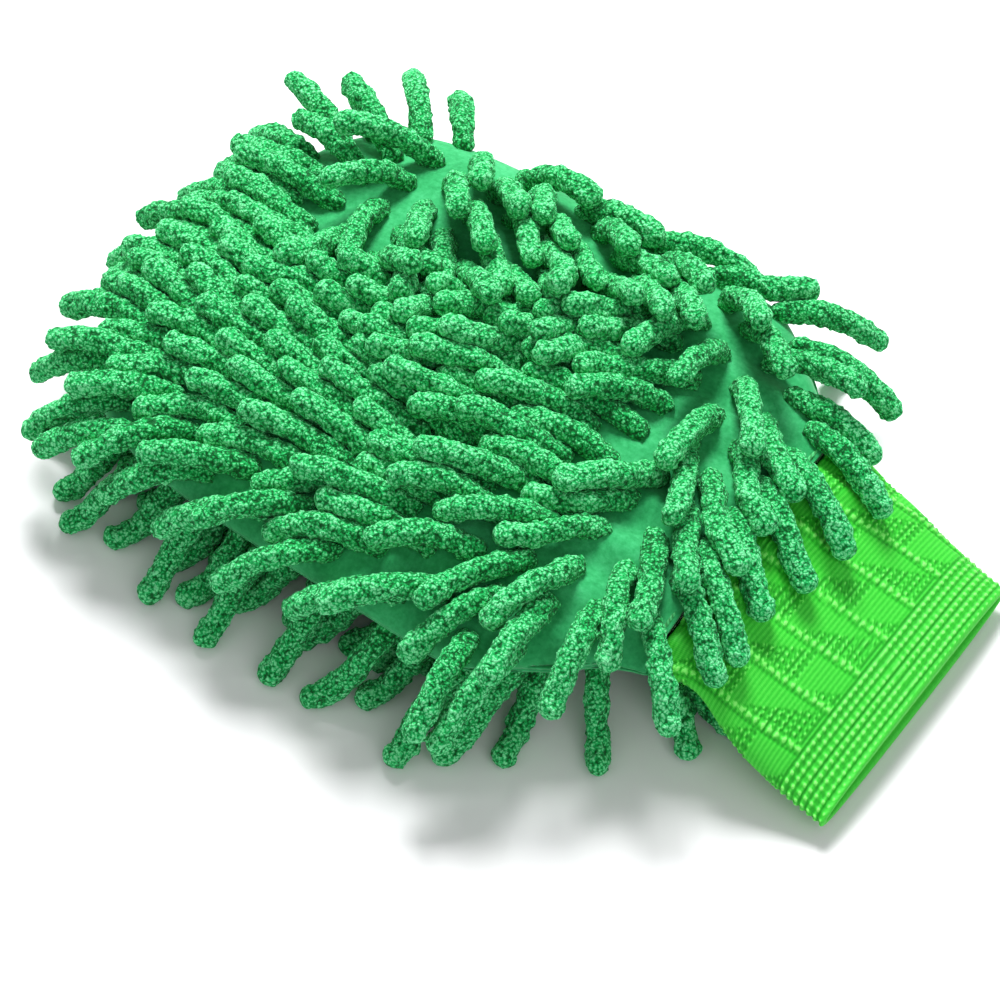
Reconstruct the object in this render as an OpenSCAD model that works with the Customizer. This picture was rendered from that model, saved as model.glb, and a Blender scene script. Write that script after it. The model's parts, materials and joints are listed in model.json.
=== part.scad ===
// Chenille wash mitt, lying palm up: two domed panels with rows of chenille noodles,
// a lining, and a folded rib-knit cuff. +X runs out of the cuff's mouth and +Z is up.
// The origin is on the ground, at the middle of the whole mitt's length and width.

/* [Mitt body] */
// Reach of the panels from the middle of the palm to the finger end
finger_reach = 86; // [86:1:88]
// Reach of the panels from the middle of the palm to the wrist
wrist_reach = 80; // [80:1:84]
// Width of the sewn panels across the palm
panel_width = 134; // [126:2:140]
// Share of the width that the outline loses towards the wrist
narrowing = 0.33; // [0.30:0.01:0.35]
// Height of the side seam above the ground
seam_height = 24; // [24:0.5:27]
// Rise of the palm panel above the side seam
palm_rise = 12.5; // [12.5:0.5:15]
// Drop of the back panel below the side seam
back_drop = 7.5; // [7:0.5:7.5]
// Thickness of the knitted base cloth
cloth = 1.0; // [0.8:0.1:1.2]
// Thickness of the lining
lining = 0.5; // [0.4:0.1:0.6]

/* [Chenille] */
// Length of one noodle
noodle_length = 27; // [24:0.5:27]
// Radius of one noodle
noodle_radius = 3.1; // [2.7:0.1:3.1]
// Spacing of the noodles along a stitched row
noodle_pitch = 11.1; // [11.1:0.1:12.7]
// Steepest lean of a noodle above or below the cloth, in degrees
noodle_lean = 36; // [36:1:40]

/* [Cuff] */
// Length of the finished cuff
cuff_length = 48; // [42:1:52]
// Width of the cuff's mouth
mouth_width = 82; // [78:1:86]
// Thickness of one layer of the rib knit
rib = 1.0; // [0.8:0.1:1.1]

/* [Hidden] */
// Outline of the panels: a superellipse, cut straight at the wrist
outline_power = 4;
crown_power = 3;
wrist_reach_uncut = 1.375 * wrist_reach;
narrow_from = 40;
half_width = panel_width / 2;
outline_passes = 5;
around = 48;
across_wrist = 12;
rings = 8;

// Lining and stitching
lining_inset = 4;
lining_gap = 0.15;
seam_bead = 0.7;
seam_bead_inset = 2.6;
seam_bead_lift = 0.2;
join_bead = 0.5;
join_inset = 1.2;
bead_sides = 8;
// Nearly upright, but never along a thread, to set the ring of points across it
nearly_up = [0.03, 0.01, 1];
seam_beads_around = 72;
join_beads_around = 64;

// Stitched rows of chenille, each staggered by half a pitch against the last
row_pitch = noodle_pitch * sqrt(3) / 2;
row_margin = 6;
first_row = row_margin - finger_reach;
row_count = floor((finger_reach + wrist_reach - 2 * row_margin) / row_pitch) + 1;
root_limit = 0.958;
root_sink = 0.6;
noodle_facets = 20;
slope_step = 0.5;
slots = ceil(half_width / noodle_pitch);
shaft = noodle_length - 2 * noodle_radius;

// How the noodles are combed: along the mitt in the middle, out over the edges from
// edge_from to edge_by of the way out, and towards the cuff between the wrist limits
palm_stroke = [-1, -0.1];
back_stroke = [-1, 0];
wrist_stroke = [0.9, -0.25];
wrist_fan = 0.016;
back_wrist_fan = 0.02;
palm_wrist_from = 40;
palm_wrist_by = 66;
back_wrist_from = 50;
back_wrist_by = 72;
edge_from = 0.62;
edge_by = 0.9;
edge_pull = 4;
droop_from = 0.72;
droop = -8;

// Cuff: a flat oval tube that starts inside the wrist opening and falls to the ground
hinge_z = seam_height + 2;
cuff_gap = 0.4;
neck_half_width = 37;
neck_half_height = 5.8;
belly_rise = 1.2;
mouth_half_height = 5.0;
fold_gap = 0.4;
wall = 2 * rib + fold_gap;
oval_power = 2.4;
cuff_around = 48;
cuff_steps = 6;
widen_by = 0.6;
fold_depths = [0.3, 0.7];
elastic_count = 4;
elastic_radius = 0.18;
elastic_pitch = 2.5;
elastic_margin = 3;

// 0 below a, 1 above b, smooth between
function ease(a, b, v) = let(t = min(1, max(0, (v - a) / (b - a)))) t * t * (3 - 2 * t);
function mix(a, b, t) = a * (1 - t) + b * t;
function unit(v) = v / norm(v);

// Half-width of the outline at a place along the mitt
function local_half_width(x) =
    half_width * (1 - narrowing * ease(narrow_from, wrist_reach, x));
function local_reach(x) = x < 0 ? finger_reach : wrist_reach_uncut;

// How far out a point lies: 0 at the middle, 1 on the side seam
function share_out(x, y) = pow(
    pow(abs(x) / local_reach(x), outline_power)
    + pow(abs(y) / local_half_width(x), outline_power),
    1 / outline_power);

// Height of a domed panel over the plane of the seam
function dome(x, y, rise) =
    rise * sqrt(max(0, 1 - pow(min(1, share_out(x, y)), crown_power)));
function dome_normal(x, y, rise) = unit([
    dome(x - slope_step, y, rise) - dome(x + slope_step, y, rise),
    dome(x, y - slope_step, rise) - dome(x, y + slope_step, rise),
    2 * slope_step]);

// Walks a point out to the side seam; the outline's width changes on the way, so
// the point is put back on it a few times
function to_seam(p, passes = outline_passes) =
    passes == 0 ? p : to_seam(p / share_out(p[0], p[1]), passes - 1);

// The panels' outline, counter-clockwise from the wrist's near corner
wrist_corner_y = local_half_width(wrist_reach)
    * pow(1 - pow(wrist_reach / wrist_reach_uncut, outline_power), 1 / outline_power);
corner_turn = atan2(wrist_corner_y, wrist_reach);
function wrist_point(k) = [wrist_reach, wrist_corner_y * (2 * k / across_wrist - 1)];
function arc_point(k, n) =
    let(t = mix(corner_turn, 360 - corner_turn, k / n))
    to_seam([finger_reach * cos(t), finger_reach * sin(t)]);
outline = concat(
    [for (k = [0 : across_wrist - 1]) wrist_point(k)],
    [for (k = [0 : around - 1]) arc_point(k, around)]);

// ---- meshes ----

// Closed mesh through rings of equal size: the last ring joins the first if looped,
// otherwise both ends are capped
module loft(ring_list, looped = false) {
    n = len(ring_list[0]);
    m = len(ring_list);
    spans = looped ? m : m - 1;
    points = [for (ring = ring_list) for (p = ring) p];
    sides = [for (i = [0 : spans - 1]) for (j = [0 : n - 1])
        let(a = i * n + j, b = i * n + (j + 1) % n,
            c = ((i + 1) % m) * n + (j + 1) % n, d = ((i + 1) % m) * n + j)
        each [[a, b, c], [a, c, d]]];
    caps = looped ? [] : [
        [for (j = [n - 1 : -1 : 0]) j],
        [for (j = [0 : n - 1]) (m - 1) * n + j]];
    polyhedron(points, concat(sides, caps));
}

// Thin domed sheet over the outline: an outer skin of rings from the middle to the
// edge, and an inner skin back to the middle. side is 1 for the palm, -1 for the back.
module domed_sheet(rise, depth, thickness, inset, side) {
    n = len(outline);
    function skin_point(p, u, d, edge) =
        let(q = p * u * (1 - edge / norm(p)))
        [q[0], q[1], seam_height
            + side * dome(p[0] * u, p[1] * u, rise) * (rise - d) / rise];
    top = [[0, 0, seam_height + side * (rise - depth)]];
    under = [[0, 0, seam_height + side * (rise - depth - thickness)]];
    outer = [for (i = [1 : rings]) for (p = outline)
        skin_point(p, ring_share(i), depth, inset)];
    inner = [for (i = [rings : -1 : 1]) for (p = outline)
        skin_point(p, ring_share(i), depth + thickness, inset + thickness)];
    points = concat(top, outer, inner, under);
    last = len(points) - 1;
    fan_out = [for (j = [0 : n - 1]) [0, 1 + j, 1 + (j + 1) % n]];
    fan_in = [for (j = [0 : n - 1])
        [last, last - n + (j + 1) % n, last - n + j]];
    sides = [for (i = [0 : 2 * rings - 2]) for (j = [0 : n - 1])
        let(a = 1 + i * n + j, b = 1 + i * n + (j + 1) % n)
        each [[a, b + n, b], [a, a + n, b + n]]];
    faces = concat(fan_out, sides, fan_in);
    polyhedron(points, side > 0 ? [for (f = faces) [f[2], f[1], f[0]]] : faces);
}
function ring_share(i) = sin(90 * i / rings);

// Round thread along a closed or open path, with its ring at each point set
// across the path
module thread(path, radius, looped) {
    n = len(path);
    loft([for (i = [0 : n - 1])
        let(before = path[looped ? (i + n - 1) % n : max(0, i - 1)],
            after = path[looped ? (i + 1) % n : min(n - 1, i + 1)],
            along = unit(after - before),
            side = unit(cross(nearly_up, along)),
            up = cross(along, side))
        [for (k = [0 : bead_sides - 1])
            let(t = 360 * k / bead_sides)
            path[i] + radius * (cos(t) * side + sin(t) * up)]], looped);
}

// ---- chenille ----

function row_x(row) = first_row + row * row_pitch;
function row_ys(row) = [for (k = [-slots : slots])
    let(y = (k + (row % 2) / 2) * noodle_pitch)
    if (share_out(row_x(row), y) < root_limit) y];

// Straight out of the outline, in the plane
function outward(x, y) = unit([
    sign(x) * pow(abs(x) / local_reach(x), 3) / local_reach(x),
    sign(y) * pow(abs(y) / local_half_width(x), 3) / local_half_width(x) + 1e-9]);

// Which way a noodle is combed, in the plane: towards the finger end over most of the
// palm, over the edges near them, and out over the cuff near the wrist
function palm_comb(x, y) =
    let(to_wrist = ease(palm_wrist_from, palm_wrist_by, x),
        over_edge = edge_pull * ease(edge_from, edge_by, share_out(x, y)) * (1 - to_wrist))
    unit((1 - to_wrist) * palm_stroke + to_wrist * (wrist_stroke + [0, wrist_fan * y])
        + over_edge * outward(x, y));
function palm_lean(x, y) =
    let(over_edge = ease(droop_from, root_limit, share_out(x, y))
            * (1 - ease(palm_wrist_from, palm_wrist_by, x)))
    mix(noodle_lean, droop, over_edge);

// The back's noodles lean until they lie on the ground
function back_comb(x, y) =
    let(to_wrist = ease(back_wrist_from, back_wrist_by, x),
        over_edge = edge_pull * ease(edge_from, edge_by, share_out(x, y)) * (1 - to_wrist))
    unit((1 - to_wrist) * back_stroke + to_wrist * [wrist_stroke[0], back_wrist_fan * y]
        + over_edge * outward(x, y));
function back_lean(z) =
    -asin(min(sin(noodle_lean), (z - noodle_radius) / shaft));

// Root and direction of one noodle: its root ball is sunk a little into the cloth
function palm_noodle(x, y) =
    let(root = [x, y, seam_height + dome(x, y, palm_rise)]
            + (noodle_radius - root_sink) * dome_normal(x, y, palm_rise),
        comb = palm_comb(x, y), lean = palm_lean(x, y))
    [root, [comb[0] * cos(lean), comb[1] * cos(lean), sin(lean)]];
function back_noodle(x, y) =
    let(n = dome_normal(x, y, back_drop),
        root = [x, y, seam_height - dome(x, y, back_drop)]
            + (noodle_radius - root_sink) * [n[0], n[1], -n[2]],
        comb = back_comb(x, y), lean = back_lean(root[2]))
    [root, [comb[0] * cos(lean), comb[1] * cos(lean), sin(lean)]];

// Round-ended noodle standing on the origin
module noodle() {
    rotate_extrude($fn = noodle_facets)
        intersection() {
            union() {
                circle(noodle_radius, $fn = noodle_facets);
                translate([0, shaft]) circle(noodle_radius, $fn = noodle_facets);
                translate([-noodle_radius, 0]) square([2 * noodle_radius, shaft]);
            }
            translate([0, -noodle_length]) square([noodle_radius, 3 * noodle_length]);
        }
}
module placed_noodle(n) {
    turn = atan2(n[1][1], n[1][0]);
    translate(n[0]) rotate([0, acos(n[1][2]), turn]) noodle();
}

// ---- cuff ----

// Oval section of the cuff at a share of its length, depth inside its outer face
function cuff_fall(v) = (v + (1 - cos(180 * v)) / 2) / 2;
function cuff_axis_z(v) = mix(hinge_z, mouth_half_height, cuff_fall(v));
function rounded(c) = sign(c) * pow(abs(c), 2 / oval_power);
function cuff_ring(v, depth) =
    let(x = wrist_reach + cuff_gap + v * cuff_length,
        w = mix(neck_half_width, mouth_width / 2, ease(0, widen_by, v)) - depth,
        h = mix(neck_half_height, mouth_half_height, v) + belly_rise * sin(180 * v) - depth)
    [for (k = [0 : cuff_around - 1])
        let(t = 360 * k / cuff_around)
        [x, w * rounded(cos(t)), cuff_axis_z(v) + h * rounded(sin(t))]];

// The whole mitt's length, from finger-end noodles to mouth, sets the origin
finger_tip_x = min([for (row = [0 : 1]) for (y = row_ys(row))
    let(n = palm_noodle(row_x(row), y)) n[0][0] + shaft * n[1][0] - noodle_radius]);
mouth_x = wrist_reach + cuff_gap + cuff_length;
place = [-(finger_tip_x + mouth_x) / 2, 0, 0];

function two_digits(k) = str(k < 10 ? "0" : "", k);
PALM_ROWS = [for (k = [1 : row_count]) str("palm_chenille_row_", two_digits(k))];
BACK_ROWS = [for (k = [1 : row_count]) str("back_chenille_row_", two_digits(k))];

module palm_panel() {
    color("seagreen") translate(place) domed_sheet(palm_rise, 0, cloth, 0, 1);
}
module back_panel() {
    color("seagreen") translate(place) domed_sheet(back_drop, 0, cloth, 0, -1);
}
module palm_lining() {
    color("honeydew") translate(place)
        domed_sheet(palm_rise, cloth + lining_gap, lining, lining_inset, 1);
}
module back_lining() {
    color("honeydew") translate(place)
        domed_sheet(back_drop, cloth + lining_gap, lining, lining_inset, -1);
}

// Overlocked edge inside the side seam, from one side of the wrist round to the other
module side_seam_thread() {
    path = [for (k = [1 : seam_beads_around - 1])
        let(p = arc_point(k, seam_beads_around), q = p * (1 - seam_bead_inset / norm(p)))
        [q[0], q[1], seam_height + seam_bead_lift]];
    color("forestgreen") translate(place) thread(path, seam_bead, false);
}

// Overlocked edge round the wrist opening, on the outside of the panels' lips
module cuff_join_thread() {
    x = wrist_reach - join_inset;
    lip = to_seam([x, wrist_corner_y])[1];
    path = [for (k = [0 : join_beads_around - 1])
        let(t = 360 * (k + 0.5) / join_beads_around, y = lip * cos(t),
            rise = sin(t) > 0 ? palm_rise : back_drop)
        [x, (lip + join_bead / 2) * cos(t),
            seam_height + sign(sin(t)) * (dome(x, y, rise) + join_bead / 2)]];
    color("yellowgreen") translate(place) thread(path, join_bead, true);
}

// Rib-knit tube folded double: out along the outer face, round the fold at the mouth,
// and back along the inner face, with the cavity of the fold between the two layers
module cuff() {
    shares = [for (i = [0 : cuff_steps]) i / cuff_steps];
    back_shares = [for (i = [cuff_steps : -1 : 0]) i / cuff_steps];
    inside_end = 1 - rib / cuff_length;
    outer = [for (v = shares) cuff_ring(v == 1 ? inside_end : v, 0)];
    fold = [for (share = fold_depths) cuff_ring(1, wall * share)];
    inner = [for (v = back_shares) cuff_ring(v == 1 ? inside_end : v, wall)];
    cavity_in = [for (v = shares) cuff_ring(v == 1 ? inside_end : v, wall - rib)];
    cavity_out = [for (v = back_shares) cuff_ring(v == 1 ? inside_end : v, rib)];
    color("yellowgreen") translate(place)
        loft(concat(outer, fold, inner, cavity_in, cavity_out), true);
}

// Rubber threads laid side by side in the cavity of the fold
module cuff_elastic_threads() {
    color("white") translate(place)
        for (k = [0 : elastic_count - 1]) {
            v = 1 - (elastic_margin + k * elastic_pitch) / cuff_length;
            thread(cuff_ring(v, wall / 2), elastic_radius, true);
        }
}

module chenille_row(row, side) {
    color(side > 0 ? "mediumseagreen" : "seagreen") translate(place)
        for (y = row_ys(row))
            placed_noodle(side > 0 ? palm_noodle(row_x(row), y) : back_noodle(row_x(row), y));
}

palm_panel();
back_panel();
palm_lining();
back_lining();
side_seam_thread();
cuff();
cuff_elastic_threads();
cuff_join_thread();
for (k = [0 : row_count - 1]) {
    chenille_row(k, 1);
    chenille_row(k, -1);
}
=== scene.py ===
import json
import math

import bpy
import numpy as np
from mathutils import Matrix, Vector


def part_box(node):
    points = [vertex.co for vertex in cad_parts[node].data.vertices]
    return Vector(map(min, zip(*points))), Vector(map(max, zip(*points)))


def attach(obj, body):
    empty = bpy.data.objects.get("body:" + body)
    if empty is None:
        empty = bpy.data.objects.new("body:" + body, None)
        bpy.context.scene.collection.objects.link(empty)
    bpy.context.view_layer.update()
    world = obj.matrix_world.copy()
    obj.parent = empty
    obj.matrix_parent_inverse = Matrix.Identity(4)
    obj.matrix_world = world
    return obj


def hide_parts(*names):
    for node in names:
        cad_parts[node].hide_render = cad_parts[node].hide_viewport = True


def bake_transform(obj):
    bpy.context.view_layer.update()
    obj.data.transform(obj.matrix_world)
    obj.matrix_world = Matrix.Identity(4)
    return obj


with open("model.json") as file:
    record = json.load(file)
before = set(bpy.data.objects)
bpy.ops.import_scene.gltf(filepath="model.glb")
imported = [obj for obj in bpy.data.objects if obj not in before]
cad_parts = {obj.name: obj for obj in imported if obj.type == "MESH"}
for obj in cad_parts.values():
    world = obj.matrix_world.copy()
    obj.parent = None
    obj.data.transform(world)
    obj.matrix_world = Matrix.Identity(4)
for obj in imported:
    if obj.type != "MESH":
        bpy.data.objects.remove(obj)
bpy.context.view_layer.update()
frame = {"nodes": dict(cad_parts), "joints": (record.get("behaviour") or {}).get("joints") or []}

MM = 0.001

# ---- Base cloth ----
# The mitt's body is two panels of brushed microfibre knit, sewn face to face round
# the edge and turned. The palm panel is crowned by what is under it and gathers
# into soft folds where the cuff's elastic draws the wrist in.
palm_low, palm_high = (np.array(corner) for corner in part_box("palm_panel"))
back_low = np.array(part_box("back_panel")[0])
seam_z = palm_low[2]
palm_rise = palm_high[2] - seam_z
back_drop = seam_z - back_low[2]
half_width = palm_high[1]
wrist_x = palm_high[0]
# The widest part of the palm lies just past the middle of the panel
finger_reach = 0.518 * (wrist_x - palm_low[0])
wrist_reach = wrist_x - palm_low[0] - finger_reach
palm_x = palm_low[0] + finger_reach
CLOTH = 1.0 * MM
OVAL_POWER = 4
CROWN_POWER = 3
# The wrist end is part of a longer oval, cut off at the wrist line. The sides taper
# towards it by a third, starting 40 mm from the palm's middle.
OVAL_PAST_WRIST = 1.375
WRIST_TAPER = 0.33
TAPER_FROM = 40 * MM


def ease(low, high, value):
    """Smooth step: 3t^2 - 2t^3, where t runs from 0 at low to 1 at high"""
    t = np.clip((value - low) / (high - low), 0, 1)
    return t * t * (3 - 2 * t)


def share_out(x, y, grow=0.0):
    """How far out a point lies, 1 on the seam: the fourth root of
    (x / reach)^4 + (y / half width)^4, with the half width tapering to the wrist"""
    u = x - palm_x
    reach = np.where(u < 0, finger_reach, OVAL_PAST_WRIST * wrist_reach) + grow
    half = half_width * (1 - WRIST_TAPER * ease(TAPER_FROM, wrist_reach, u)) + grow
    return ((np.abs(u) / reach) ** OVAL_POWER
            + (np.abs(y) / half) ** OVAL_POWER) ** (1 / OVAL_POWER)


def dome(x, y, rise):
    """Height of a panel over the seam: rise * sqrt(1 - share^3)"""
    share = np.minimum(1, share_out(x, y))
    return rise * np.sqrt(np.maximum(0, 1 - share ** CROWN_POWER))


def outline(turns):
    """Points of the seam at the given angles round the palm's middle: a direction
    divided by its own share until it stays, then cut back to the wrist line"""
    p = np.stack([np.cos(turns), np.sin(turns)], -1) * finger_reach
    for _ in range(6):
        p /= share_out(p[..., 0] + palm_x, p[..., 1])[..., None]
    p *= np.minimum(1, wrist_reach / np.maximum(p[..., 0], 1e-6))[..., None]
    return p


def linear(colour):
    """An sRGB hex colour as linear red, green, blue and alpha"""
    parts = [int(colour[k:k + 2], 16) / 255 for k in (1, 3, 5)]
    return tuple(c / 12.92 if c < 0.04045 else ((c + 0.055) / 1.055) ** 2.4
                 for c in parts) + (1.0,)


def add(tree, kind, inputs=None, ramp=None, **settings):
    """Adds a shader node with its settings. An input given as another node's output
    is linked, and any other input is set. ramp is a list of (place, hex colour)."""
    made = tree.nodes.new("ShaderNode" + kind)
    for name, value in settings.items():
        setattr(made, name, value)
    for name, value in (inputs or {}).items():
        if isinstance(value, bpy.types.NodeSocket):
            tree.links.new(value, made.inputs[name])
        else:
            made.inputs[name].default_value = value
    if ramp:
        while len(made.color_ramp.elements) < len(ramp):
            made.color_ramp.elements.new(0.5)
        for element, (place, colour) in zip(made.color_ramp.elements, ramp):
            element.position, element.color = place, linear(colour)
    return made


def new_material(name):
    """An empty node material and its tree"""
    made = bpy.data.materials.new(name)
    made.use_nodes = True
    made.node_tree.nodes.clear()
    return made, made.node_tree


def grid_piece(name, points, material, around=True, start_pole=None, end_pole=None,
               uv=None, values=None, inside_out=False):
    """Joins grids of points, shaped (grids, rows, columns, 3), into quads. around
    joins the last column to the first. A pole is one point for each grid, that
    closes its first or last row with triangles. uv has the shape of the points, and
    values are named numbers, one a point."""
    points = np.asarray(points, float)
    points = points.reshape((-1,) + points.shape[-3:])
    grids, rows, columns, _ = points.shape
    index = np.arange(grids * rows * columns).reshape(grids, rows, columns)
    right = np.roll(index, -1, 2) if around else index[:, :, 1:]
    left = index if around else index[:, :, :-1]
    quads = np.stack([left[:, :-1], right[:, :-1], right[:, 1:], left[:, 1:]], -1)
    quads = quads.reshape(-1, 4)
    corners, triangles = [points.reshape(-1, 3)], []
    total = grids * rows * columns
    for pole, row, turn in ((start_pole, 0, True), (end_pole, -1, False)):
        if pole is None:
            continue
        tip = np.broadcast_to((total + np.arange(grids))[:, None], left[:, row].shape)
        pair = (right[:, row], left[:, row]) if turn else (left[:, row], right[:, row])
        triangles.append(np.stack([pair[0], pair[1], tip], -1).reshape(-1, 3))
        corners.append(np.asarray(pole, float).reshape(-1, 3))
        total += grids
    corners = np.concatenate(corners)
    triangles = np.concatenate(triangles) if triangles else np.zeros((0, 3), int)
    if inside_out:
        quads, triangles = quads[:, ::-1], triangles[:, ::-1]
    mesh = bpy.data.meshes.new(name)
    mesh.vertices.add(len(corners))
    mesh.vertices.foreach_set("co", corners.ravel())
    loops = np.concatenate([quads.ravel(), triangles.ravel()])
    sizes = np.concatenate([np.full(len(quads), 4), np.full(len(triangles), 3)])
    mesh.loops.add(len(loops))
    mesh.loops.foreach_set("vertex_index", loops)
    mesh.polygons.add(len(sizes))
    mesh.polygons.foreach_set("loop_start", np.concatenate([[0], np.cumsum(sizes)[:-1]]))
    mesh.polygons.foreach_set("use_smooth", np.ones(len(sizes), bool))
    mesh.update(calc_edges=True)
    if uv is not None:
        layer = mesh.uv_layers.new(name="cloth")
        layer.data.foreach_set("uv", np.asarray(uv, float).reshape(-1, 2)[loops].ravel())
    for key, value in (values or {}).items():
        padded = np.zeros(len(corners))
        value = np.asarray(value, float).ravel()
        padded[:len(value)] = value
        padded[len(value):] = value[-1]
        mesh.attributes.new(key, "FLOAT", "POINT").data.foreach_set("value", padded)
    mesh.materials.append(material)
    mesh.validate()
    piece = bpy.data.objects.new(name, mesh)
    bpy.context.scene.collection.objects.link(piece)
    return piece


# Brushed warp-knit microfibre: matte, with a faint nap that blurs the knit and
# lightens at a slant. The stitches are about 0.4 mm, so the nap is drawn at 1.5 mm.
base_cloth, tree = new_material("brushed microfibre knit")
place = add(tree, "TexCoord")
nap = add(tree, "TexNoise", {"Vector": place.outputs["Object"], "Scale": 650.0,
                             "Detail": 4.0, "Roughness": 0.65})
shade = add(tree, "TexNoise", {"Vector": place.outputs["Object"], "Scale": 60.0,
                               "Detail": 2.0})
mottle = add(tree, "Math", {0: nap.outputs["Fac"], 1: shade.outputs["Fac"]},
             operation="ADD")
halved = add(tree, "Math", {0: mottle.outputs[0], 1: 0.5}, operation="MULTIPLY")
green = add(tree, "ValToRGB", {"Fac": halved.outputs[0]},
            ramp=[(0.36, "#178a4b"), (0.5, "#2ca25f"), (0.66, "#42b976")])
relief = add(tree, "Bump", {"Height": nap.outputs["Fac"], "Strength": 0.35,
                            "Distance": 0.0003})
cloth_shader = add(tree, "BsdfPrincipled", {
    "Base Color": green.outputs["Color"], "Roughness": 0.9, "Specular IOR Level": 0.25,
    "Sheen Weight": 0.35, "Sheen Roughness": 0.45, "Sheen Tint": linear("#b8f5cf"),
    "Normal": relief.outputs["Normal"]})
add(tree, "OutputMaterial", {"Surface": cloth_shader.outputs["BSDF"]})


# A lining cut smaller all round rises less, by 0.3 of what is cut off
EDGE_SLOPE = 0.3
FOLD_REACH, FOLD_WIDTH, FOLD_DEPTH = 48 * MM, 15 * MM, 1.5 * MM
WAVE_DEPTH = 0.5 * MM


def panel_points(rise, side, inset, rows=72, columns=300):
    """A domed panel as rings of the outline, drawn in towards the palm's middle, and
    lifted by the dome. Folds run from the wrist into the palm: a sine across the
    wrist, whose phase wanders, times a strength that is spent 48 mm from it. The
    rest of the cloth has slow waves, a sine along times a sine across."""
    turns = np.linspace(0, 2 * math.pi, columns, endpoint=False)
    share = np.sin(np.linspace(0, 0.5 * math.pi, rows + 1)[1:])
    edge = outline(turns)
    edge = edge * (1 - inset / np.linalg.norm(edge, axis=1))[:, None]
    flat = share[:, None, None] * edge[None]
    x, y = flat[..., 0] + palm_x, flat[..., 1]
    height = dome(x, y, rise - inset * EDGE_SLOPE)
    gather = ease(wrist_x - FOLD_REACH, wrist_x - 8 * MM, x) * (1 - 0.6 * ease(
        wrist_x - 10 * MM, wrist_x, x))
    wander = 0.9 * np.sin(x * 95) + 0.5 * np.sin(y * 61 + 1)
    folds = np.sin(y / FOLD_WIDTH * 2 * math.pi + wander)
    inner = ease(1.0, 0.8, share_out(x, y))
    height = height + gather * inner * FOLD_DEPTH * (folds - 0.4)
    waves = np.sin(x * 130 + 2 * np.sin(y * 70)) * np.sin(y * 110)
    height += inner * WAVE_DEPTH * waves
    return np.stack([x, y, seam_z + side * height], -1)


def panel_piece(name, node, rise, side, inset, thickness, material):
    """One cut panel: its rings, closed at the middle, with a cloth's thickness"""
    points = panel_points(rise, side, inset)
    pole = np.array([palm_x, 0, seam_z + side * (rise - inset * EDGE_SLOPE)])
    piece = grid_piece(name, points, material, start_pole=pole, inside_out=side < 0)
    wall = piece.modifiers.new("thickness", "SOLIDIFY")
    wall.thickness, wall.offset = thickness, -1
    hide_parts(node)
    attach(piece, "mitt_body")


panel_piece("palm_cloth", "palm_panel", palm_rise, 1, 0.0, CLOTH, base_cloth)
panel_piece("back_cloth", "back_panel", back_drop, -1, 0.0, CLOTH, base_cloth)

# ---- Lining ----
# A thin, smooth polyester lining lies behind each panel, so that the hand meets
# neither knots nor stitches. It is caught in the side seam and at the wrist.
lining_cloth, tree = new_material("woven polyester lining")
place = add(tree, "TexCoord")
weave = add(tree, "TexNoise", {"Vector": place.outputs["Object"], "Scale": 900.0,
                               "Detail": 2.0})
pale = add(tree, "ValToRGB", {"Fac": weave.outputs["Fac"]},
           ramp=[(0.3, "#b9cbb8"), (0.7, "#dbe8d6")])
relief = add(tree, "Bump", {"Height": weave.outputs["Fac"], "Strength": 0.2,
                            "Distance": 0.0002})
lining_shader = add(tree, "BsdfPrincipled", {
    "Base Color": pale.outputs["Color"], "Roughness": 0.6, "Sheen Weight": 0.2,
    "Normal": relief.outputs["Normal"]})
add(tree, "OutputMaterial", {"Surface": lining_shader.outputs["BSDF"]})
LINING, LINING_BEHIND, LINING_INSET = 0.4 * MM, 1.3 * MM, 4 * MM
panel_piece("palm_lining_cloth", "palm_lining", palm_rise - LINING_BEHIND, 1,
            LINING_INSET, LINING, lining_cloth)
panel_piece("back_lining_cloth", "back_lining", back_drop - LINING_BEHIND, -1,
            LINING_INSET, LINING, lining_cloth)

# ---- Seam threads ----
# Spun polyester thread in two overlocked seams: the side seam, turned to the inside,
# and the seam round the wrist opening. Both keep their frame parts.
thread_material, tree = new_material("spun polyester thread")
place = add(tree, "TexCoord")
twist = add(tree, "TexWave", {"Vector": place.outputs["Object"], "Scale": 420.0,
                              "Distortion": 1.5}, bands_direction="DIAGONAL")
dyed = add(tree, "ValToRGB", {"Fac": twist.outputs["Fac"]},
           ramp=[(0.1, "#1b8f45"), (0.8, "#3fc06e")])
relief = add(tree, "Bump", {"Height": twist.outputs["Fac"], "Strength": 0.6,
                            "Distance": 0.0002})
thread_shader = add(tree, "BsdfPrincipled", {
    "Base Color": dyed.outputs["Color"], "Roughness": 0.65, "Sheen Weight": 0.3,
    "Normal": relief.outputs["Normal"]})
add(tree, "OutputMaterial", {"Surface": thread_shader.outputs["BSDF"]})
for node in ("side_seam_thread", "cuff_join_thread"):
    frame["nodes"][node].data.materials.clear()
    frame["nodes"][node].data.materials.append(thread_material)

# ---- Cuff ----
# A tube of lime rib knit, folded double at its mouth and sewn to the wrist. Its
# jacquard alternates triangles of fine ribs with triangles of raised pebble
# stitches, and a welt of pebbles in straight columns runs round the mouth.
cuff_low, cuff_high = (np.array(corner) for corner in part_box("cuff"))
hinge_x, _, hinge_z = frame["joints"][0]["pos_m"]
cuff_start, mouth_x = cuff_low[0], cuff_high[0]
cuff_length = mouth_x - cuff_start
neck_half_width, mouth_half_width = 37 * MM, cuff_high[1]
neck_half_height, mouth_half_height = 5.8 * MM, 5.0 * MM
CUFF_OVAL = 2.4
# Half the wrist opening, from the outline's own formula at the wrist line
WRIST_HALF = ((1 - WRIST_TAPER) * half_width
              * (1 - OVAL_PAST_WRIST ** -OVAL_POWER) ** (1 / OVAL_POWER))
RIB = 1.0 * MM


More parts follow.
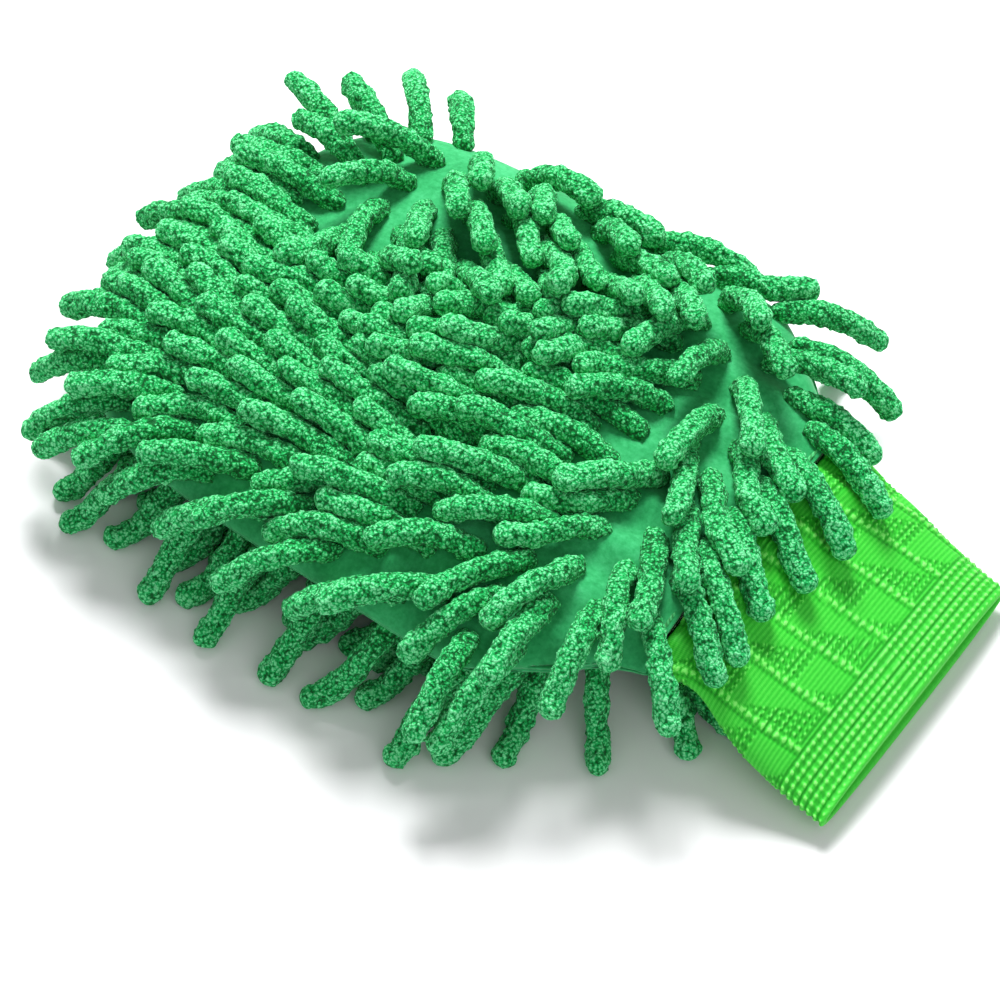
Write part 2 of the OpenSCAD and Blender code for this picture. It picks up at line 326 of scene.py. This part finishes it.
def cuff_section(x):
    """Middle height, half width and half height of the cuff's oval at a place along
    it. The middle falls by the mean of a straight line and a cosine."""
    v = np.clip((x - cuff_start) / cuff_length, 0, 1)
    fall = (v + (1 - np.cos(math.pi * v)) / 2) / 2
    middle = hinge_z + (mouth_half_height - hinge_z) * fall
    half = neck_half_width + (mouth_half_width - neck_half_width) * ease(0, 0.6, v)
    tall = neck_half_height + (mouth_half_height - neck_half_height) * v
    return middle, half, tall + 1.2 * MM * np.sin(math.pi * v)


def cuff_path(turns, v, depth=0.0):
    """Points of the cuff, depth inside its outer face. An oval of power 2.4 round
    the middle; near the seam it is drawn to the wrist opening's own lip, which the
    dome gives, so that the knit starts tucked under the cloth."""
    x = cuff_start + v * cuff_length
    middle, half, tall = cuff_section(x)
    across = np.sign(np.cos(turns)) * np.abs(np.cos(turns)) ** (2 / CUFF_OVAL)
    up = np.sign(np.sin(turns)) * np.abs(np.sin(turns)) ** (2 / CUFF_OVAL)
    y, z = (half - depth) * across, middle + (tall - depth) * up
    lip_half = WRIST_HALF - CLOTH - depth
    lip_y = lip_half * across
    rise = np.where(up > 0, palm_rise, back_drop) - CLOTH - depth
    lip_z = seam_z + np.sign(up) * dome(np.full_like(y, wrist_x), lip_y, rise)
    lip_z = lip_z * np.abs(up) ** 0.3 + seam_z * (1 - np.abs(up) ** 0.3)
    near = 1 - ease(0.0, 0.34, v)
    return np.stack([x + 0 * y, y + (lip_y - y) * near, z + (lip_z - z) * near], -1)


# Sizes of the knit, in millimetres: the welt, and the pebbles in it; a cell of the
# jacquard round the tube, how far along it slants by one cell, and the length of
# its triangle; and the small pebbles of the cells
WELT_DEPTH, WELT_COLUMN, WELT_COURSE = 12.6, 2.3, 1.75
CELL, CELL_SLANT, TRIANGLE = 13.0, 46.0, 17.5
PEBBLE_COLUMN, PEBBLE_COURSE = 2.05, 1.55


def knit_relief(around, along):
    """Height of the stitches, 0 to 1, from millimetres around and along the tube.
    In the welt pebbles stand in straight columns. Elsewhere each cell has one slanted
    ridge: pebbles lie on one side of it and fine ribs on the other."""
    welt_from = cuff_length / MM - WELT_DEPTH
    welt = ease(welt_from, welt_from + 0.4, along)
    column, course = around / WELT_COLUMN, along / WELT_COURSE
    straight = np.clip(np.cos(2 * math.pi * column), -0.3, 1) * 0.5 + 0.5
    straight = straight * np.clip(np.cos(2 * math.pi * course) * 0.8 + 0.5, 0, 1)
    cell = around / CELL + along / CELL_SLANT
    step = np.floor(cell)
    across = cell - step
    run = along / TRIANGLE + 0.5 * step
    slope = across + (run - np.floor(run)) - 1
    stagger = around / PEBBLE_COLUMN + 0.5 * np.floor(along / PEBBLE_COURSE)
    pebble = np.clip(np.cos(2 * math.pi * stagger) * 0.7 + 0.45, 0, 1)
    pebble = pebble * np.clip(
        np.cos(2 * math.pi * along / PEBBLE_COURSE) * 0.7 + 0.5, 0, 1)
    ridge = np.clip(np.cos(2 * math.pi * course) * 0.6 + 0.6, 0, 1)
    ridge = ridge * np.exp(-((across - 0.9) / 0.07) ** 2)
    groove = np.exp(-((across - 0.02) / 0.035) ** 2) + np.exp(
        -((across - 1.02) / 0.035) ** 2)
    field = np.where(slope > 0, 0.75 * pebble, 0.3)
    figured = np.maximum(field, ridge) * (1 - 0.9 * np.clip(groove, 0, 1))
    return figured * (1 - welt) + straight * welt


# Points round the tube, and rows along its outer face, its fold and its inner face
AROUND, ALONG, FOLD_ROWS, INNER_ROWS = 440, 118, 6, 40
GIRTH_ROW = 60
v_fold = 1 - RIB / cuff_length
turns = np.linspace(0, 2 * math.pi, AROUND, endpoint=False)
v_out = np.linspace(0, v_fold, ALONG)
outer = cuff_path(turns[None], v_out[:, None])
step = np.linalg.norm(np.roll(outer[GIRTH_ROW], -1, 0) - outer[GIRTH_ROW], axis=1) / MM
arc = np.concatenate([[0], np.cumsum(step)[:-1]])
girth = step.sum()
# A whole number of pairs of cells goes round, so that the pattern meets itself
around_mm = arc * (round(girth / (2 * CELL)) * (2 * CELL)) / girth
along_mm = v_out * cuff_length / MM
stitches = knit_relief(around_mm[None], along_mm[:, None])
sideways = np.roll(outer, -1, 1) - np.roll(outer, 1, 1)
lengthways = np.gradient(outer, axis=0)
normal = np.cross(sideways, lengthways)
normal /= np.linalg.norm(normal, axis=-1, keepdims=True)
# Gathers, in millimetres: shallow folds along the tube, deepest at the seam, and a
# slow ripple. The stitches stand 0.55 mm high, on ground sunk by 0.3 mm.
GATHER_WIDTH, GATHER_DEPTH, RIPPLE_DEPTH = 9.0, 0.5, 0.45
STITCH_HEIGHT, GROUND_SUNK = 0.55, 0.3
fold_wave = np.sin(around_mm[None] / GATHER_WIDTH * 2 * math.pi
                   + 2 * np.sin(along_mm[:, None] / 9))
gathers = GATHER_DEPTH * fold_wave * (1 - ease(4, 26, along_mm[:, None]))
ripple = RIPPLE_DEPTH * np.sin(around_mm[None] / 21 + along_mm[:, None] / 7)
ripple = ripple * ease(0, 12, along_mm[:, None])
raised = gathers + ripple + STITCH_HEIGHT * stitches - GROUND_SUNK
outer = outer + normal * raised[..., None] * MM
fold_turn = np.linspace(0, math.pi, FOLD_ROWS + 2)[1:-1]
WALL = 2 * RIB + 0.4 * MM
bulge = cuff_path(turns[None], np.full((FOLD_ROWS, 1), v_fold),
                  (WALL / 2 * (1 - np.cos(fold_turn)))[:, None])
bulge[..., 0] += (RIB * np.sin(fold_turn))[:, None]
inner = cuff_path(turns[None], np.linspace(v_fold, 0, INNER_ROWS)[:, None], WALL)
layers = np.concatenate([outer, bulge, inner])
layers[..., 2] = np.maximum(layers[..., 2], 0.0)
along_all = np.concatenate([
    along_mm, np.full(FOLD_ROWS, along_mm[-1]),
    along_mm[-1] + np.linspace(0, cuff_length / MM, INNER_ROWS)])
uv = np.stack(np.broadcast_arrays(around_mm[None], along_all[:, None]), -1) * MM
plain = np.full((FOLD_ROWS + INNER_ROWS, AROUND), 0.45)
relief_all = np.concatenate([stitches, plain])

# Lime polyester-and-elastane rib: the pebbles catch the light and the courses between
# them are deep green. Ribs of 1 mm run round the tube, and threads of 0.45 mm along it.
rib_knit, tree = new_material("jacquard rib knit")
laid = add(tree, "UVMap", uv_map="cloth")
height = add(tree, "Attribute", attribute_name="stitch")
turned = add(tree, "Mapping", {"Vector": laid.outputs["UV"],
                               "Rotation": (0, 0, math.pi / 2)})
ribs = add(tree, "TexWave", {"Vector": turned.outputs["Vector"], "Scale": 314.0,
                             "Distortion": 0.6, "Detail": 1.0, "Detail Scale": 3.0},
           wave_profile="SIN")
threads = add(tree, "TexWave", {"Vector": laid.outputs["UV"], "Scale": 700.0})
fuzz = add(tree, "TexNoise", {"Vector": laid.outputs["UV"], "Scale": 1500.0,
                              "Detail": 2.0})
rib_part = add(tree, "Math", {0: ribs.outputs["Fac"], 1: 0.22}, operation="MULTIPLY")
level = add(tree, "Math", {0: height.outputs["Fac"], 1: rib_part.outputs[0]},
            operation="ADD")
thread_part = add(tree, "Math", {0: threads.outputs["Fac"], 1: 0.1, 2: level.outputs[0]},
                  operation="MULTIPLY_ADD")
fuzz_part = add(tree, "Math", {0: fuzz.outputs["Fac"], 1: 0.22,
                               2: thread_part.outputs[0]}, operation="MULTIPLY_ADD")
lime = add(tree, "ValToRGB", {"Fac": fuzz_part.outputs[0]},
           ramp=[(0.2, "#07960f"), (0.5, "#2ac429"), (0.78, "#4fde44"),
                 (1.0, "#80f66c")])
relief = add(tree, "Bump", {"Height": fuzz_part.outputs[0], "Strength": 0.5,
                            "Distance": 0.0004})
rib_shader = add(tree, "BsdfPrincipled", {
    "Base Color": lime.outputs["Color"], "Roughness": 0.62, "Specular IOR Level": 0.35,
    "Sheen Weight": 0.25, "Sheen Roughness": 0.4, "Sheen Tint": linear("#d4ffb0"),
    "Normal": relief.outputs["Normal"]})
add(tree, "OutputMaterial", {"Surface": rib_shader.outputs["BSDF"]})

BEND_START = (hinge_x - 3 * MM, 0, hinge_z)
cuff_knit = grid_piece("cuff_knit", layers, rib_knit, uv=uv,
                       values={"stitch": relief_all})
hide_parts("cuff")
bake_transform(cuff_knit)

# Covered rubber threads lie in the fold, seen only as the welt's grip.
rubber, tree = new_material("covered rubber thread")
place = add(tree, "TexCoord")
cover = add(tree, "TexNoise", {"Vector": place.outputs["Object"], "Scale": 1800.0})
pale = add(tree, "ValToRGB", {"Fac": cover.outputs["Fac"]},
           ramp=[(0.3, "#cfd3c4"), (0.7, "#f0f2e6")])
rubber_shader = add(tree, "BsdfPrincipled", {"Base Color": pale.outputs["Color"],
                                             "Roughness": 0.7})
add(tree, "OutputMaterial", {"Surface": rubber_shader.outputs["BSDF"]})
frame["nodes"]["cuff_elastic_threads"].data.materials.clear()
frame["nodes"]["cuff_elastic_threads"].data.materials.append(rubber)

# ---- Chenille ----
# Each noodle is a length of chenille yarn, microfibre pile twisted into a core, and
# stitched by its end to the base cloth in staggered rows. The yarn is about 6 mm
# thick, soft and heavy enough to flop over, and lies as it was last stroked.
NOODLE_RADIUS = 3.0 * MM
# Lengths of the yarns, in millimetres
SHORTEST, LONGEST = 28.5, 34.0
# Two yarns touch when their middles are twice this far apart
TOUCH = 3.2 * MM
JOINTS = 8
rng = np.random.default_rng(7)


def loose_parts(mesh):
    """Splits a mesh into its separate solids: corners at one place are one, and each
    takes the lowest number among those it shares a face with until none changes"""
    mesh.calc_loop_triangles()
    corners = np.empty(len(mesh.vertices) * 3)
    mesh.vertices.foreach_get("co", corners)
    corners = corners.reshape(-1, 3)
    faces = np.empty(len(mesh.loop_triangles) * 3, int)
    mesh.loop_triangles.foreach_get("vertices", faces)
    _, same = np.unique(np.round(corners, 6), axis=0, return_inverse=True)
    faces = same.ravel()[faces].reshape(-1, 3)
    label = np.arange(same.max() + 1)
    while True:
        low = label[faces].min(1)
        new = label.copy()
        for corner in range(3):
            np.minimum.at(new, faces[:, corner], low)
        new = new[new]
        if (new == label).all():
            return corners, label[same.ravel()]
        label = new


def noodle_ends(node):
    """Both round ends' centres of each noodle in a row: its middle, plus and minus
    half its core along its longest direction"""
    corners, label = loose_parts(frame["nodes"][node].data)
    ends = []
    for part in np.unique(label):
        solid = corners[label == part]
        middle = (solid.min(0) + solid.max(0)) / 2
        _, _, axes = np.linalg.svd(solid - middle, full_matrices=False)
        run = (solid - middle) @ axes[0]
        radius = np.sqrt((((solid - middle) @ axes[1]) ** 2).max())
        core = (run.max() - run.min()) / 2 - radius
        ends.append([middle - axes[0] * core, middle + axes[0] * core])
    return np.array(ends)


rows, ends, side = [], [], []
for node in sorted(frame["nodes"]):
    if "chenille" in node:
        found = noodle_ends(node)
        rows.append((node, len(side), len(side) + len(found)))
        ends += list(found)
        side += [1 if node.startswith("palm") else -1] * len(found)
ends, side = np.array(ends), np.array(side)
count = len(side)


PAD_POWER = 3


def body_field(p, grow):
    """Below 1 inside the padded body: share out cubed, plus the height over the dome's
    rise, squared. Beyond the wrist line it is an oval of power 3 round the cuff."""
    x, y, z = p[..., 0], p[..., 1], p[..., 2]
    up = z - seam_z
    rise = np.where(up > 0, palm_rise, back_drop) + grow
    body = share_out(x, y, grow) ** CROWN_POWER + (up / rise) ** 2
    middle, half, tall = cuff_section(x)
    cuff = ((np.abs(y) / (half + grow)) ** PAD_POWER
            + (np.abs(z - middle) / (tall + grow)) ** PAD_POWER)
    well_outside = 9.0
    cuff = np.where(x > mouth_x + grow, well_outside, cuff)
    return np.where(x > wrist_x, cuff, body)


def slope_of(p, grow):
    """Gradient of the body field, by differences of 0.2 mm"""
    small = 0.2 * MM
    here = body_field(p, grow)
    steps = [(body_field(p + small * axis, grow) - here) / small for axis in np.eye(3)]
    return here, np.stack(steps, -1)


# The palm's pile lies in locks, each stroked its own way: how far along and across
# the palm's middle its centre lies, in millimetres, and its heading in degrees
LOCKS = np.array([
    (-84, 20, 172), (-66, 24, 178), (-60, -4, -172), (-62, -35, 176), (-28, -12, -164),
    (-30, -42, 178), (0, -34, 163), (2, 0, -154), (22, 16, -158), (30, -16, -160),
    (22, -46, -178), (42, 8, 168), (40, 28, -165), (50, -26, -143), (52, -50, -135),
    (-44, 24, -36), (-22, 36, -43), (-66, 50, 152), (-38, 56, -62), (2, 56, -46),
    (8, 36, -60), (30, 62, -56), (54, 30, -55), (66, 8, -50), (78, 30, -24), (66, 54, 8),
    (80, 4, -24), (80, -18, -26), (72, -40, -50), (60, -58, -85)])
LOCK_SPREAD = 11


def comb(p, face):
    """The way the pile was stroked, as a unit vector in the plane. On the palm each
    lock's heading counts by exp(-(distance / 11 mm)^2 / 2); on the back it lies
    towards the finger end, and turns back at the wrist. Near the seam it spills
    outwards, along the slope of the outline's formula, by a seeded amount."""
    x, y = p[:, 0] - palm_x, p[:, 1]
    share = share_out(p[:, 0], p[:, 1])
    apart = np.hypot(x[:, None] / MM - LOCKS[:, 0], y[:, None] / MM - LOCKS[:, 1])
    weight = np.exp(-(apart / LOCK_SPREAD) ** 2 / 2) + 1e-9
    heading = np.radians(LOCKS[:, 2])
    palm_way = weight @ np.stack([np.cos(heading), np.sin(heading)], -1)
    palm_way /= np.linalg.norm(palm_way, axis=1, keepdims=True)
    wrist = ease(50 * MM, 68 * MM, x)[:, None]
    back_way = (1 - wrist) * np.array([[-1.0, 0.05]]) + wrist * np.array([[0.9, -0.3]])
    way = np.where(face[:, None] > 0, palm_way, back_way)
    u = x / np.where(x < 0, finger_reach, OVAL_PAST_WRIST * wrist_reach)
    w = y / half_width
    out = np.stack([np.sign(u) * np.abs(u) ** 3 / finger_reach,
                    np.sign(w) * np.abs(w) ** 3 / half_width], -1)
    out /= np.linalg.norm(out, axis=1, keepdims=True) + 1e-9
    minus_y = 0.8 * ease(0.72, 0.93, share)
    plus_y = 0.7 * ease(0.86, 0.96, share)
    under = 1.5 * ease(0.45, 0.8, share)
    turned_out = np.where(face < 0, under, np.where(y < 0, minus_y, plus_y))
    spill = turned_out * rng.uniform(0.2, 2.0, len(p))
    way = way + out * spill[:, None]
    return way / np.linalg.norm(way, axis=1, keepdims=True)


# Where each yarn is stitched: the end nearer the cloth, moved onto it
nearer = np.argmin(body_field(ends, 0.0), axis=1)
roots = ends[np.arange(count), nearer]
for _ in range(4):
    field, uphill = slope_of(roots, 0.0)
    roots -= uphill * ((field - 1) / (uphill ** 2).sum(-1))[:, None]
_, uphill = slope_of(roots, 0.0)
facing = uphill / np.linalg.norm(uphill, axis=1, keepdims=True)
long = rng.uniform(SHORTEST, LONGEST, count) * MM
link = (long / (JOINTS - 1))[:, None]
STRAY = 0.16
stroke = comb(roots, side) + rng.normal(0, STRAY, (count, 2))
stroke = np.concatenate([stroke, np.zeros((count, 1))], 1)
stroke /= np.linalg.norm(stroke, axis=1, keepdims=True)
# On the +Y half of the palm, away from the wrist and the seam, the pile stands more
upright = np.where(side > 0, ease(16 * MM, 42 * MM, roots[:, 1]), 0)
upright = upright * (1 - ease(52 * MM, 70 * MM, roots[:, 0] - palm_x))
upright = upright * ease(0.95, 0.86, share_out(roots[:, 0], roots[:, 1]))
# A yarn leaves the cloth 30 degrees above it: 0.5 up and 0.87 along the stroke
raise_by = 0.3 * upright
first = (0.5 + raise_by)[:, None] * facing + (0.87 - raise_by)[:, None] * stroke
first /= np.linalg.norm(first, axis=1, keepdims=True)
yarn = roots[:, None] + first[:, None] * link[:, None] * np.arange(JOINTS)[None, :, None]
owner = np.repeat(np.arange(count), JOINTS)
place_in = np.tile(np.arange(JOINTS), count)
loose = np.minimum(1, place_in / 2.0)


PAIR_RANGE = 11 * MM


def close_pairs(points):
    """Every pair of yarn joints under 11 mm apart that are on different noodles"""
    flat = points.astype(np.float32)
    square = (flat ** 2).sum(1)
    apart = square[:, None] + square[None] - 2 * flat @ flat.T
    a, b = np.nonzero(np.triu(apart < PAIR_RANGE ** 2, 1))
    keep = owner[a] != owner[b]
    return a[keep], b[keep]


# The pile settles: each step strokes and drops every joint a little, then restores
# the yarn's length and its slight stiffness, and pushes touching joints apart.
STEPS = 190
STIFFNESS = 0.1
# How far a step strokes and drops a joint, and the most that another yarn or the
# body may move it at once
STROKED, DROPPED = 0.17, 0.36 * MM
PUSH_LIMIT, SHOVE_LIMIT = 1.2 * MM, 2 * MM
push = stroke[:, None] * STROKED * MM * np.linspace(0.3, 1, JOINTS)[None, :, None]
fall = np.array([0, 0, -DROPPED]) * (1 - 0.5 * upright)[:, None, None]
for step in range(STEPS):
    if step % 6 == 0:
        one, other = close_pairs(yarn.reshape(-1, 3))
        share_one = loose[one] / (loose[one] + loose[other] + 1e-9)
    yarn[:, 1:] += (push + fall)[:, 1:]
    for _ in range(3):
        # Joints that touch part by 0.45 of their overlap, the freer one the more
        flat = yarn.reshape(-1, 3)
        gap = flat[one] - flat[other]
        distance = np.linalg.norm(gap, axis=1) + 1e-9
        deep = np.maximum(0, 2 * TOUCH - distance) * 0.45
        shift = gap / distance[:, None] * deep[:, None]
        moved = np.stack([
            np.bincount(one, shift[:, k] * share_one, count * JOINTS)
            - np.bincount(other, shift[:, k] * (1 - share_one), count * JOINTS)
            for k in range(3)], -1)
        most = np.linalg.norm(moved, axis=1, keepdims=True)
        moved *= np.minimum(1, PUSH_LIMIT / (most + 1e-9))
        flat = flat + moved
        # Joints inside the padded body, or in the table, are moved out of it
        field, uphill = slope_of(flat, TOUCH)
        inside = (field < 1) & (place_in > 1)
        shove = uphill * ((1 - field) / ((uphill ** 2).sum(-1) + 1e-9))[:, None]
        size = np.linalg.norm(shove, axis=1, keepdims=True)
        shove *= np.minimum(1, SHOVE_LIMIT / (size + 1e-9))
        flat = flat + np.where(inside[:, None], shove, 0)
        flat[:, 2] = np.maximum(flat[:, 2], NOODLE_RADIUS)
        # The stitched end is held, and every link gets its own length back
        yarn = flat.reshape(count, JOINTS, 3)
        yarn[:, 0] = roots
        want = roots + first * link
        yarn[:, 1] = 0.5 * yarn[:, 1] + 0.5 * want
        for k in range(1, JOINTS):
            along = yarn[:, k] - yarn[:, k - 1]
            if k > 1:
                before = yarn[:, k - 1] - yarn[:, k - 2]
                along = along + STIFFNESS * before
            along /= np.linalg.norm(along, axis=1, keepdims=True)
            yarn[:, k] = yarn[:, k - 1] + along * link

# Skin of the yarn: rings along a smooth curve through the joints, with a round tip
RINGS, SIDES, TIP_RINGS = ((56, 40, 8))
straight_share = 1 - NOODLE_RADIUS / long
t = np.linspace(0, 1, RINGS - TIP_RINGS)[None] * straight_share[:, None]


def along_yarn(points, shares):
    """A uniform cubic B-spline through the yarn's joints, its ends repeated so that
    it starts and stops at them"""
    held = np.concatenate([2 * points[:, :1] - points[:, 1:2], points,
                           2 * points[:, -1:] - points[:, -2:-1]], 1)
    place = np.clip(shares, 0, 1) * (JOINTS - 1)
    cell = np.minimum(place.astype(int), JOINTS - 2)
    f = (place - cell)[..., None]
    who = np.arange(len(points))[:, None]
    a, b, c, d = (held[who, cell + k] for k in range(4))
    return ((1 - f) ** 3 * a + (3 * f ** 3 - 6 * f ** 2 + 4) * b
            + (-3 * f ** 3 + 3 * f ** 2 + 3 * f + 1) * c + f ** 3 * d) / 6


core = along_yarn(yarn, t)
tangent = np.gradient(core, axis=1)
tangent /= np.linalg.norm(tangent, axis=-1, keepdims=True)
cap = np.linspace(0, math.pi / 2, TIP_RINGS + 2)[1:-1]
end, last = core[:, -1:], tangent[:, -1:]
core = np.concatenate([core, end + last * (NOODLE_RADIUS * np.sin(cap))[None, :, None]], 1)
tangent = np.concatenate([tangent, np.repeat(last, TIP_RINGS, 1)], 1)
across = np.cross(tangent[:, 0], facing + 0.01)
turned_frame = []
for k in range(RINGS):
    across = across - (across * tangent[:, k]).sum(1, keepdims=True) * tangent[:, k]
    across /= np.linalg.norm(across, axis=1, keepdims=True)
    turned_frame.append(across)
across = np.stack(turned_frame, 1)
upward = np.cross(tangent, across)
angle = np.linspace(0, 2 * math.pi, SIDES, endpoint=False)
radial = (across[:, :, None] * np.cos(angle)[None, None, :, None]
          + upward[:, :, None] * np.sin(angle)[None, None, :, None])
profile = np.concatenate([np.ones(RINGS - TIP_RINGS), np.cos(cap)])
# The stitch draws the yarn in at its root
profile[:4] = [0.72, 0.86, 0.95, 0.99]


def lumps(times):
    """Seeded noise over the skin, smoothed the given number of times"""
    noise = rng.normal(0, 1, (count, RINGS, SIDES))
    for _ in range(times):
        noise = (noise + np.roll(noise, 1, 2) + np.roll(noise, -1, 2)) / 3
        noise[:, 1:-1] = (noise[:, 1:-1] + noise[:, :-2] + noise[:, 2:]) / 3
    return noise / noise.std()


# Tufts of pile stand out some 0.2 mm, 1 to 2 mm apart, on lumps about 3 mm long
TUFT, LUMP = 0.22 * MM, 0.2 * MM
fine = TUFT * lumps(1)
pile = fine + LUMP * lumps(7)
thick = NOODLE_RADIUS * rng.uniform(0.93, 1.05, count)[:, None, None]
skin = core[:, :, None] + radial * ((thick + pile) * profile[None, :, None])[..., None]
tips = core[:, -1] + tangent[:, -1] * NOODLE_RADIUS * (1 - math.sin(cap[-1]) + 0.02)
bottoms = yarn[:, 0] - facing * 0.4 * MM
skin[..., 2] = np.maximum(skin[..., 2], 0.0)
tips[:, 2] = np.maximum(tips[:, 2], 0.0)
standing = np.clip(fine / (0.6 * MM) + 0.5, 0, 1)
tone = np.broadcast_to(rng.uniform(-0.5, 0.5, count)[:, None, None], pile.shape)
# Painted shade for the pile's colour: 0 at each yarn's stitched root, where the pile crowds
# against the body, rising to 1 along the yarn and over its tip
painted_root_shade = np.concatenate([t / straight_share[:, None], np.ones((count, TIP_RINGS))], 1)
painted_root_shade = np.repeat(painted_root_shade[:, :, None], SIDES, 2)

# Polyamide-and-polyester pile: millions of fine ends that scatter light, bright at
# the tips of the curls and deep green between them. The curls are about 0.8 mm
# across, and the fibres in them 0.4 mm. Each yarn's colour also carries painted
# shade, darkest at its stitched root by the body and lifting towards its tip.
chenille, tree = new_material("chenille microfibre pile")
place = add(tree, "TexCoord")
bend = add(tree, "TexNoise", {"Vector": place.outputs["Object"], "Scale": 800.0,
                              "Detail": 2.0})
bent = add(tree, "VectorMath", {0: bend.outputs["Color"], 1: (0.0012, 0.0012, 0.0012),
                                2: place.outputs["Object"]}, operation="MULTIPLY_ADD")
curls = add(tree, "TexVoronoi", {"Vector": bent.outputs["Vector"], "Scale": 1250.0})
fibres = add(tree, "TexNoise", {"Vector": bent.outputs["Vector"], "Scale": 2600.0,
                                "Detail": 2.0, "Roughness": 0.6})
loft_height = add(tree, "Attribute", attribute_name="standing")
yarn_tone = add(tree, "Attribute", attribute_name="tone")
root_shade_fade = add(tree, "Attribute", attribute_name="root_shade_fade")
curl_height = add(tree, "Math", {0: curls.outputs["Distance"], 1: -1.1, 2: 0.5},
                  operation="MULTIPLY_ADD")
first_sum = add(tree, "Math", {0: fibres.outputs["Fac"], 1: 0.75,
                               2: curl_height.outputs[0]}, operation="MULTIPLY_ADD")
second_sum = add(tree, "Math", {0: loft_height.outputs["Fac"], 1: 0.2,
                                2: first_sum.outputs[0]}, operation="MULTIPLY_ADD")
third_sum = add(tree, "Math", {0: yarn_tone.outputs["Fac"], 1: 0.07,
                               2: second_sum.outputs[0]}, operation="MULTIPLY_ADD")
# Painted shade: the colour darkens towards each yarn's root
level = add(tree, "Math", {0: root_shade_fade.outputs["Fac"], 1: 0.16,
                           2: third_sum.outputs[0]}, operation="MULTIPLY_ADD")
pile_green = add(tree, "ValToRGB", {"Fac": level.outputs[0]},
                 ramp=[(0.2, "#045a24"), (0.4, "#11a04a"), (0.58, "#2cc96d"),
                       (0.84, "#86f7ae")])
relief = add(tree, "Bump", {"Height": first_sum.outputs[0], "Strength": 1.0,
                            "Distance": 0.0006})
pile_shader = add(tree, "BsdfPrincipled", {
    "Base Color": pile_green.outputs["Color"], "Roughness": 0.95,
    "Specular IOR Level": 0.15, "Sheen Weight": 0.3, "Sheen Roughness": 0.5,
    "Sheen Tint": linear("#8ff0b4"), "Normal": relief.outputs["Normal"]})
add(tree, "OutputMaterial", {"Surface": pile_shader.outputs["BSDF"]})

for node, start, stop in rows:
    row = slice(start, stop)
    piece = grid_piece(node.replace("_row_", "_noodles_"), skin[row], chenille,
                       start_pole=bottoms[row], end_pole=tips[row],
                       values={"standing": standing[row], "tone": tone[row],
                               "root_shade_fade": painted_root_shade[row]})
    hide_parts(node)
    if skin[row, ..., 0].max() > BEND_START[0]:
        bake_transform(piece)
    else:
        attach(piece, "mitt_body")

# ---- Studio ----
# A pale matt table lit by one large soft light from the finger end, a weaker one
# from the wrist, and an even white surround. The camera looks down on the palm
# from the wrist's side.
floor_material, tree = new_material("matt white paper")
place = add(tree, "TexCoord")
paper = add(tree, "TexNoise", {"Vector": place.outputs["Object"], "Scale": 40.0})
white = add(tree, "ValToRGB", {"Fac": paper.outputs["Fac"]},
            ramp=[(0.3, "#f0f0f2"), (0.7, "#f4f4f5")])
paper_shader = add(tree, "BsdfPrincipled", {"Base Color": white.outputs["Color"],
                                            "Roughness": 0.9})
add(tree, "OutputMaterial", {"Surface": paper_shader.outputs["BSDF"]})
FLOOR_HALF = 3.0
edge = np.linspace(-FLOOR_HALF, FLOOR_HALF, 3)
floor_x, floor_y = np.meshgrid(edge, edge)
floor = grid_piece("floor", np.stack([floor_x, floor_y, 0 * floor_x], -1)[None],
                   floor_material, around=False)

world = bpy.data.worlds.new("studio")
world.use_nodes = True
surround = world.node_tree.nodes["Background"]
surround.inputs["Color"].default_value = (1, 1, 1, 1)
surround.inputs["Strength"].default_value = 0.45
bpy.context.scene.world = world
bpy.context.scene.view_settings.view_transform = "Standard"


def soft_light(name, place, target, size, power):
    """A square area light of the given side in metres and power in watts, aimed at
    a point"""
    data = bpy.data.lights.new(name, "AREA")
    data.shape, data.size, data.energy = "SQUARE", size, power
    made = bpy.data.objects.new(name, data)
    bpy.context.scene.collection.objects.link(made)
    made.location = place
    made.rotation_mode = "QUATERNION"
    made.rotation_quaternion = (Vector(target) - Vector(place)).to_track_quat("-Z", "Y")


soft_light("key_light", (-0.5, 0.66, 1.15), (0, 0, 0), size=0.5, power=31)
soft_light("fill_light", (0.9, -0.5, 0.9), (0, 0, 0), size=0.9, power=3)

AZIMUTH, ELEVATION, DISTANCE = math.radians(37.5), math.radians(50), 0.640
target = Vector((palm_x, -5 * MM, 25 * MM))
back = Vector((math.sin(AZIMUTH) * math.cos(ELEVATION),
               -math.cos(AZIMUTH) * math.cos(ELEVATION), math.sin(ELEVATION)))
camera_data = bpy.data.cameras.new("camera")
camera_data.lens, camera_data.sensor_width = 94.3, 36.0
camera_data.shift_x, camera_data.shift_y = 0.035, -0.095
camera = bpy.data.objects.new("camera", camera_data)
camera.location = target + back * DISTANCE
camera.rotation_mode = "QUATERNION"
camera.rotation_quaternion = (-back).to_track_quat("-Z", "Y")
bpy.context.scene.collection.objects.link(camera)
bpy.context.scene.camera = camera
